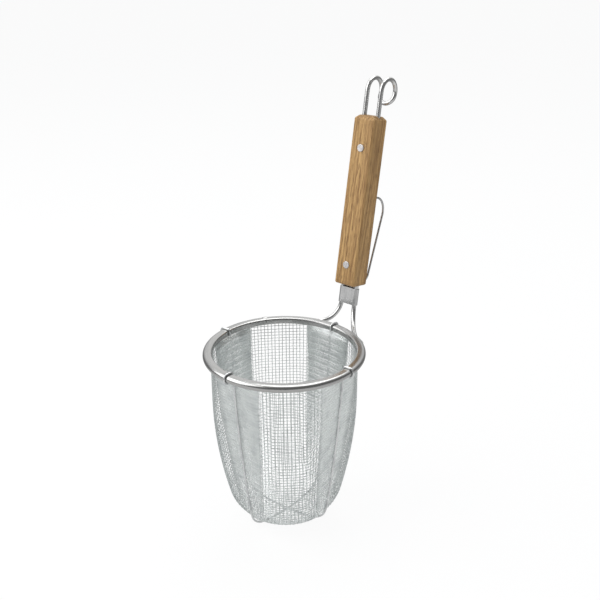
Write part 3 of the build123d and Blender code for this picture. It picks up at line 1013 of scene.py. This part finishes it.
def make_band_lap():
    """The rolled band's outer end, which laps over its other end and stands a little proud."""
    bpy.ops.object.select_all(action="DESELECT")
    bpy.ops.mesh.primitive_torus_add(
        location=(0, 0, RIM_Z * MM), major_segments=720, minor_segments=28,
        major_radius=RIM_MIDDLE_R * MM, minor_radius=(RIM_SECTION_R + BAND_LAP_RISE) * MM,
    )
    lap = bpy.context.object
    lap.name = "rim_band_lap"
    bpy.ops.object.mode_set(mode="EDIT")
    for side in (-1, 1):
        cut = radians(BAND_LAP_AZIMUTH + side * BAND_LAP_HALF)
        bpy.ops.mesh.select_all(action="SELECT")
        bpy.ops.mesh.bisect(
            plane_co=(0, 0, RIM_Z * MM), plane_no=(-side * sin(cut), side * cos(cut), 0),
            use_fill=True, clear_outer=True,
        )
    finish_piece(lap, rolled_band)


def make_crossing_weld():
    """The spot weld that joins the two ribs where they cross under the cup: a flattened ball."""
    middle = (0, 0, RIB_CROSSING_Z * MM)
    bpy.ops.object.select_all(action="DESELECT")
    bpy.ops.mesh.primitive_uv_sphere_add(
        segments=24, ring_count=14, radius=WELD_R * MM, location=middle
    )
    weld = bpy.context.object
    weld.name = "rib_crossing_weld"
    bpy.ops.object.mode_set(mode="EDIT")
    bpy.ops.mesh.select_all(action="SELECT")
    bpy.ops.transform.resize(value=(1, 1, WELD_FLATNESS_SHARE), center_override=middle)
    finish_piece(weld, rib_wire)


make_band_lap()
make_crossing_weld()


# Studio, in metres

FLOOR_SIDE = 12
FLOOR_DROP = 0.0005
FLOOR_TONE = (0.86, 0.86, 0.86, 1)
FLOOR_ROUGHNESS = 0.9
FLOOR_GLOSS = 0.1
FLOOR_WHITE_SHARE = 0.91

# In reflections the floor greys from start to end behind the strainer.
# That draws the dark edges on bright metal
BEHIND_STRAINER = (-0.65, 0.76, 0.0)
GREY_START, GREY_END = 0.06, 0.30
GREY_AT_START, GREY_AT_END = 0.74, 0.22

# In reflections the studio is dark low down in front of the strainer, and white above that
BRIGHT_WAY = (-0.39, 0.45, 0.8)
BRIGHT_START, BRIGHT_END = 0.45, 0.78
DARK_VALUE = 0.19
STUDIO_TONE = (0.95, 0.97, 1.0, 1)
STUDIO_LIGHT = 0.62

# As bright as the far edge of the floor, so that no horizon shows
FAR_WHITE = 0.95


def seen_itself(tree, path):
    """1 where the camera sees a thing itself, and 0 in reflections and in bounced light."""
    return formula(
        tree, "MAXIMUM", path.outputs["Is Camera Ray"], path.outputs["Is Transmission Ray"]
    )


def make_floor():
    """A plain pale floor that shows white, and keeps a little of the strainer's shadow."""
    bpy.ops.object.select_all(action="DESELECT")
    bpy.ops.mesh.primitive_plane_add(size=FLOOR_SIDE, location=(0, 0, -FLOOR_DROP))
    floor = bpy.context.object
    floor.name = "floor"
    material, tree, shader = new_material("white_floor")
    shader.inputs["Base Color"].default_value = FLOOR_TONE
    shader.inputs["Roughness"].default_value = FLOOR_ROUGHNESS
    shader.inputs["Specular IOR Level"].default_value = FLOOR_GLOSS
    path = add(tree, "ShaderNodeLightPath")
    glossy = path.outputs["Is Glossy Ray"]
    itself = seen_itself(tree, path)
    place = add(tree, "ShaderNodeTexCoord")
    behind = along_axis(tree, place.outputs["Object"], BEHIND_STRAINER)
    grey = spread(tree, behind, GREY_START, GREY_END, GREY_AT_START, GREY_AT_END)
    mirrored = formula(tree, "MULTIPLY", glossy, grey)
    white = add(tree, "ShaderNodeEmission")
    white.inputs["Color"].default_value = WHITE
    tree.links.new(formula(tree, "MAXIMUM", itself, mirrored), white.inputs["Strength"])
    shown = formula(tree, "MAXIMUM", itself, glossy)
    share = formula(tree, "MULTIPLY", shown, FLOOR_WHITE_SHARE)
    surface = mix_shaders(tree, share, shader.outputs[0], white.outputs[0])
    tree.links.new(surface, tree.nodes["Material Output"].inputs["Surface"])
    lay_out(tree)
    floor.data.materials.append(material)


def make_world():
    """A white studio: plain white to the camera, and a pale light on the strainer."""
    world = bpy.data.worlds.new("studio")
    scene.world = world
    world.use_nodes = True
    tree = world.node_tree
    light = tree.nodes["Background"]
    light.inputs["Color"].default_value = STUDIO_TONE
    light.inputs["Strength"].default_value = STUDIO_LIGHT
    white = add(tree, "ShaderNodeBackground")
    white.inputs["Color"].default_value = WHITE
    white.inputs["Strength"].default_value = FAR_WHITE
    direction = add(tree, "ShaderNodeTexCoord").outputs["Generated"]
    height = along_axis(tree, direction, BRIGHT_WAY)
    mirrored = add(tree, "ShaderNodeBackground")
    brightness = spread(tree, height, BRIGHT_START, BRIGHT_END, to_low=DARK_VALUE)
    tree.links.new(brightness, mirrored.inputs["Color"])
    path = add(tree, "ShaderNodeLightPath")
    glossy = path.outputs["Is Glossy Ray"]
    lit = mix_shaders(tree, glossy, light.outputs[0], mirrored.outputs[0])
    shown = mix_shaders(tree, seen_itself(tree, path), lit, white.outputs[0])
    tree.links.new(shown, tree.nodes["World Output"].inputs["Surface"])
    lay_out(tree)


def add_softbox(name, place, target, side, power):
    light = bpy.data.lights.new(name, "AREA")
    light.shape = "RECTANGLE"
    light.size = light.size_y = side
    light.energy = power
    lamp = bpy.data.objects.new(name, light)
    scene.collection.objects.link(lamp)
    lamp.location = place
    lamp.rotation_euler = (Vector(target) - Vector(place)).to_track_quat("-Z", "Y").to_euler()


make_floor()
make_world()
add_softbox("key_box", place=(-0.9, -1.0, 1.2), target=(0, 0, 0.18), side=1.7, power=22.0)
add_softbox("top_box", place=(-0.2, 0.6, 1.7), target=(0, 0, 0.15), side=1.2, power=12.0)

scene.view_settings.view_transform = "Standard"
